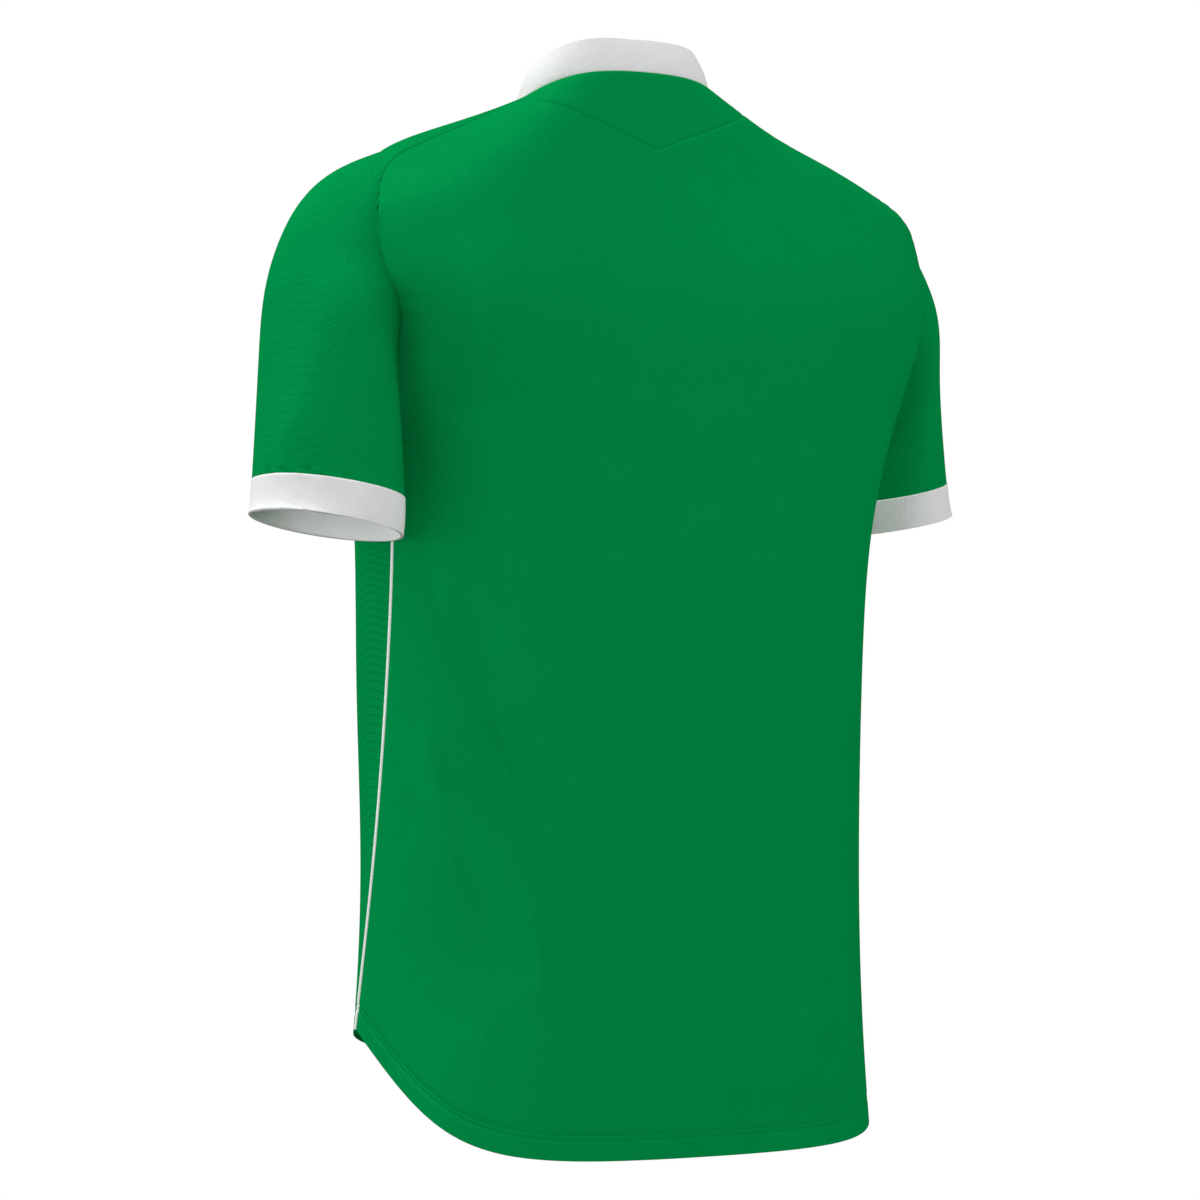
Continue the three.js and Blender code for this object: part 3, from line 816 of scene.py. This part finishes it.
class Shading:
    """A material's shader, with short calls for the maths that feeds it."""

    def __init__(self, name, colour, roughness, sheen=0.0, gloss=0.0):
        self.material = bpy.data.materials.new(name)
        self.material.use_nodes = True
        self.tree = self.material.node_tree
        self.shader = self.tree.nodes["Principled BSDF"]
        self.colour = colour
        self.shader.inputs["Base Color"].default_value = (*colour, 1)
        self.shader.inputs["Roughness"].default_value = roughness
        self.shader.inputs["Specular IOR Level"].default_value = gloss
        self.shader.inputs["Sheen Weight"].default_value = sheen
        self.shader.inputs["Sheen Roughness"].default_value = 0.5
        self.shader.inputs["Sheen Tint"].default_value = (*colour, 1)

    def add(self, kind, **settings):
        node = self.tree.nodes.new(kind)
        for key, value in settings.items():
            setattr(node, key, value)
        return node

    def put(self, value, socket):
        if isinstance(value, bpy.types.NodeSocket):
            self.tree.links.new(value, socket)
        else:
            socket.default_value = value

    def math(self, operation, *values):
        node = self.add("ShaderNodeMath", operation=operation)
        for value, socket in zip(values, node.inputs):
            self.put(value, socket)
        return node.outputs[0]

    def cloth(self):
        """Distances across and up the flat cloth, in millimetres."""
        where = self.add("ShaderNodeUVMap", uv_map="cloth").outputs[0]
        split = self.add("ShaderNodeSeparateXYZ")
        self.put(where, split.inputs[0])
        return [self.math("MULTIPLY", split.outputs[axis], 1 / MM) for axis in (0, 1)]

    def wave(self, distance, pitch):
        return self.math("SINE", self.math("MULTIPLY", distance, 2 * math.pi / pitch))

    def noise(self, size, detail=2.0):
        """Even noise from -0.5 to 0.5 over the object, in lumps of the given size."""
        place = self.add("ShaderNodeTexCoord").outputs["Object"]
        node = self.add("ShaderNodeTexNoise")
        self.put(place, node.inputs["Vector"])
        node.inputs["Scale"].default_value = 1 / (size * MM)
        node.inputs["Detail"].default_value = detail
        return self.math("SUBTRACT", node.outputs["Fac"], 0.5)

    def tone(self, change):
        """The base colour, made lighter or darker by a share."""
        node = self.add("ShaderNodeMix", data_type="RGBA", blend_type="MULTIPLY")
        node.inputs["Factor"].default_value = 1
        node.inputs["A"].default_value = (*self.colour, 1)
        level = self.math("ADD", change, 1.0)
        combined = self.add("ShaderNodeCombineXYZ")
        for socket in combined.inputs:
            self.put(level, socket)
        self.put(combined.outputs[0], node.inputs[7])
        self.put(node.outputs[2], self.shader.inputs["Base Color"])

    def bump(self, height, depth):
        node = self.add("ShaderNodeBump")
        node.inputs["Strength"].default_value = 1
        node.inputs["Distance"].default_value = depth * MM
        self.put(height, node.inputs["Height"])
        self.put(node.outputs[0], self.shader.inputs["Normal"])

    def sum(self, *pairs):
        """A weighted sum."""
        total = 0.0
        for weight, value in pairs:
            total = self.math("ADD", self.math("MULTIPLY", value, weight), total)
        return total


def green_knit(name, waves=None):
    """The body's knit: small checks over fine ribs. waves adds tonal lines: all over, on the sides only, or
    none.
    """
    cloth = Shading(name, GREEN, CLOTH_ROUGHNESS, sheen=0.02)
    across, up = cloth.cloth()
    checks = cloth.math("MULTIPLY", cloth.wave(across, CHECK_PITCH), cloth.wave(up, CHECK_PITCH))
    ribs = cloth.wave(across, RIB_PITCH)
    fine = cloth.noise(0.9)
    broad = cloth.noise(26)
    height = [(0.5, checks), (0.2, ribs), (0.8, fine)]
    # The tone attribute adds painted shade in the folds' hollows and painted highlight on their crests; the
    # checks, ribs and noise are the knit's own tone
    folds = cloth.add("ShaderNodeAttribute", attribute_name="tone").outputs["Fac"]
    tone = [(0.035, checks), (0.02, ribs), (0.1, fine), (0.08, broad), (1.0, folds)]
    if waves:
        swing = cloth.math("MULTIPLY", cloth.wave(across, WAVE_LENGTH), WAVE_SWING)
        line = cloth.wave(cloth.math("ADD", up, swing), WAVE_PITCH)
        sharp = cloth.math("POWER", cloth.math("MAXIMUM", line, 0.0), 3.0)
        if waves == "sides":
            far = cloth.math("SUBTRACT", cloth.math("ABSOLUTE", across), 120.0)
            fade = cloth.math("MULTIPLY", far, 1 / 90)
            fade = cloth.math("MINIMUM", cloth.math("MAXIMUM", fade, 0.0), 1.0)
            sharp = cloth.math("MULTIPLY", sharp, fade)
            tone.append((-0.15, sharp))
        else:
            tone.append((-0.065, sharp))
        height.append((-0.6, sharp))
    cloth.tone(cloth.sum(*tone))
    cloth.bump(cloth.sum(*height), 0.12)
    return cloth.material


def white_cloth(name, colour):
    cloth = Shading(name, colour, CLOTH_ROUGHNESS, sheen=0.05)
    fine = cloth.noise(1.1, 3.0)
    broad = cloth.noise(14)
    across = cloth.cloth()[0]
    ribs = cloth.wave(across, RIB_PITCH)
    cloth.tone(cloth.sum((0.16, fine), (0.08, broad), (0.012, ribs)))
    cloth.bump(cloth.sum((1.0, fine), (0.2, ribs)), 0.15)
    return cloth.material


def thread(name):
    cloth = Shading(name, THREAD_GREEN, THREAD_ROUGHNESS)
    cloth.tone(cloth.sum((0.3, cloth.noise(0.8))))
    return cloth.material


MATERIALS = {
    "knit": green_knit("green_knit"),
    "sleeve": green_knit("green_knit_waves", waves="all"),
    "front": green_knit("green_knit_sides", waves="sides"),
    "white": white_cloth("white_rib", RIB_WHITE),
    "thread": thread("green_thread"),
    "piping": white_cloth("white_piping", PIPING_WHITE),
}


# Build


def camera():
    azimuth, elevation = math.radians(CAMERA_AZIMUTH), math.radians(CAMERA_ELEVATION)
    towards = Vector((
        math.sin(azimuth) * math.cos(elevation),
        math.cos(azimuth) * math.cos(elevation),
        math.sin(elevation),
    ))
    right = Vector((-math.cos(azimuth), math.sin(azimuth), 0))
    up = towards.cross(right)
    aim = right * CAMERA_ASIDE + Vector((0, 0, CAMERA_HEIGHT))
    data = bpy.data.cameras.new("camera")
    data.lens = CAMERA_LENS
    data.sensor_width = 36
    data.sensor_fit = "HORIZONTAL"
    data.clip_end = 100
    eye = bpy.data.objects.new("camera", data)
    eye.matrix_world = Matrix((
        (right.x, up.x, towards.x, 0),
        (right.y, up.y, towards.y, 0),
        (right.z, up.z, towards.z, 0),
        (0, 0, 0, 1),
    ))
    eye.location = (aim + towards * CAMERA_DISTANCE) * MM
    bpy.context.scene.collection.objects.link(eye)
    bpy.context.scene.camera = eye


def soft_sun(name, azimuth, elevation, strength, shadow):
    """A wide soft light. Its azimuth is counted as the camera's is."""
    data = bpy.data.lights.new(name, "SUN")
    data.angle = math.radians(SUN_WIDTH)
    data.energy = strength
    data.use_shadow = shadow
    light = bpy.data.objects.new(name, data)
    turn, rise = math.radians(azimuth), math.radians(elevation)
    towards = Vector((
        math.sin(turn) * math.cos(rise),
        math.cos(turn) * math.cos(rise),
        math.sin(rise),
    ))
    light.rotation_euler = towards.to_track_quat("Z", "Y").to_euler()
    bpy.context.scene.collection.objects.link(light)


def studio_world():
    """White to look at, and a dimmer even light on the jersey, so that the lamps shape it."""
    world = bpy.data.worlds.new("studio")
    world.use_nodes = True
    tree = world.node_tree
    shown = tree.nodes["Background"]
    shown.inputs["Color"].default_value = (1, 1, 1, 1)
    shown.inputs["Strength"].default_value = 1
    lighting = tree.nodes.new("ShaderNodeBackground")
    lighting.inputs["Color"].default_value = (1, 1, 1, 1)
    lighting.inputs["Strength"].default_value = WORLD_LIGHT
    path = tree.nodes.new("ShaderNodeLightPath")
    mix = tree.nodes.new("ShaderNodeMixShader")
    tree.links.new(path.outputs["Is Camera Ray"], mix.inputs["Fac"])
    tree.links.new(lighting.outputs[0], mix.inputs[1])
    tree.links.new(shown.outputs[0], mix.inputs[2])
    tree.links.new(mix.outputs[0], tree.nodes["World Output"].inputs["Surface"])
    bpy.context.scene.world = world


def surroundings():
    studio_world()
    floor_material = Shading("floor", FLOOR_GREY, CLOTH_ROUGHNESS).material
    mesh = bpy.data.meshes.new("floor")
    turns = np.linspace(0, 2 * math.pi, 96, endpoint=False)
    rim = [(FLOOR_REACH * math.cos(turn), FLOOR_REACH * math.sin(turn), FLOOR_HEIGHT) for turn in turns]
    mesh.from_pydata(rim, [], [range(len(rim))])
    mesh.materials.append(floor_material)
    floor = bpy.data.objects.new("floor", mesh)
    bpy.context.scene.collection.objects.link(floor)
    floor.visible_diffuse = False
    for light in LAMPS:
        soft_sun(*light)
    bpy.context.scene.view_settings.view_transform = "Standard"


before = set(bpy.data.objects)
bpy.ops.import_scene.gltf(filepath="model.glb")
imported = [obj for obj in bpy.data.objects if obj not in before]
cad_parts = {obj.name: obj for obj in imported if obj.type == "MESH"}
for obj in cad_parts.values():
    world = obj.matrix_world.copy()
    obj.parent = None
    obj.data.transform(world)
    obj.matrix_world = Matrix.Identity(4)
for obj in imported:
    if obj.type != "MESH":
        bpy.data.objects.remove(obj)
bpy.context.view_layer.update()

SHEETS = [
    Sheet("back_knit", "back", "body", KNIT, [back_grid()]),
    Sheet("back_yoke_knit", "back_yoke", "body", KNIT, [yoke_grid()]),
    Sheet("front_knit", "front", "body", KNIT, [front_grid()]),
    Sheet("sleeve_left_knit", "sleeve_left", "left", KNIT, sleeve_grids("left")),
    Sheet("sleeve_right_knit", "sleeve_right", "right", KNIT, [mirror(g) for g in sleeve_grids("right")]),
    Sheet("cuff_left_band", "cuff_left", "left", RIB, [sleeve_rows("left", CUFF_STATIONS)]),
    Sheet("cuff_right_band", "cuff_right", "right", RIB, [mirror(sleeve_rows("right", CUFF_STATIONS))]),
    Sheet("collar_band", "collar", "body", RIB, [collar_grid()]),
]

# The cut of each piece, laid flat: width, length and area in metres
CUTS = {
    "back_knit": (0.63, 0.79, 0.400),
    "back_yoke_knit": (0.20, 0.075, 0.0093),
    "front_knit": (0.58, 0.70, 0.322),
    "sleeve_left_knit": (0.46, 0.40, 0.067),
    "sleeve_right_knit": (0.46, 0.40, 0.066),
    "cuff_left_band": (0.375, 0.025, 0.0093),
    "cuff_right_band": (0.37, 0.025, 0.0090),
    "collar_band": (0.46, 0.027, 0.0121),
}

shape_sheets(SHEETS)
CLOTHS = {"sleeve_left_knit": "sleeve", "sleeve_right_knit": "sleeve", "front_knit": "front"}
for sheet in (SHEETS[0], SHEETS[2]):
    stitches(f"hem_stitches_{sheet.node}", sheet, MATERIALS["thread"])

for sheet in SHEETS:
    white = sheet.wall == RIB
    piece = shell_of(sheet, MATERIALS["white" if white else CLOTHS.get(sheet.name, "knit")])
    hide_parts(sheet.node)
    width, length, area = CUTS[sheet.name]

for arm, side in (("left", 1), ("right", -1)):
    cord = piping(f"piping_{arm}_cord", SHEETS[0], side, MATERIALS["piping"])
    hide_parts(f"piping_{arm}")

camera()
surroundings()
